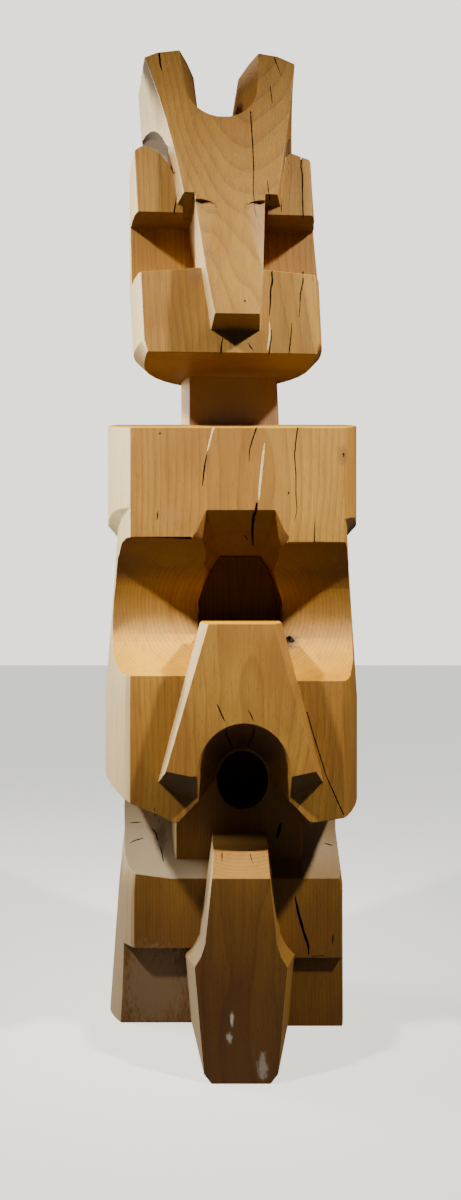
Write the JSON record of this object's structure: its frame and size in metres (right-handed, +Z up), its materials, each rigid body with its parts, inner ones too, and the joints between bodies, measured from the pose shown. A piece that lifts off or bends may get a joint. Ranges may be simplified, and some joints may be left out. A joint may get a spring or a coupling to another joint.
{
  "type": "totem sculpture",
  "caption": "Tall carved wooden totem: a horned head with a long snout on a neck, over a hollowed body with beak and mouth, on a base with a tongue.",
  "frame": {"origin": "middle of the bounding box at the underside, where the totem stands", "axes": "+Z up, along the log; -Y towards the viewer, out of the carved face; +X to the right as seen in the picture"},
  "size_m": [0.387, 0.3968, 1.438],
  "materials": {
    "totem": "oiled hand-carved wood, warm honey to red-brown, paler on the left side, with drying cracks"
  },
  "bodies": {
    "root": {"totem": "totem"}
  },
  "joints": []
}
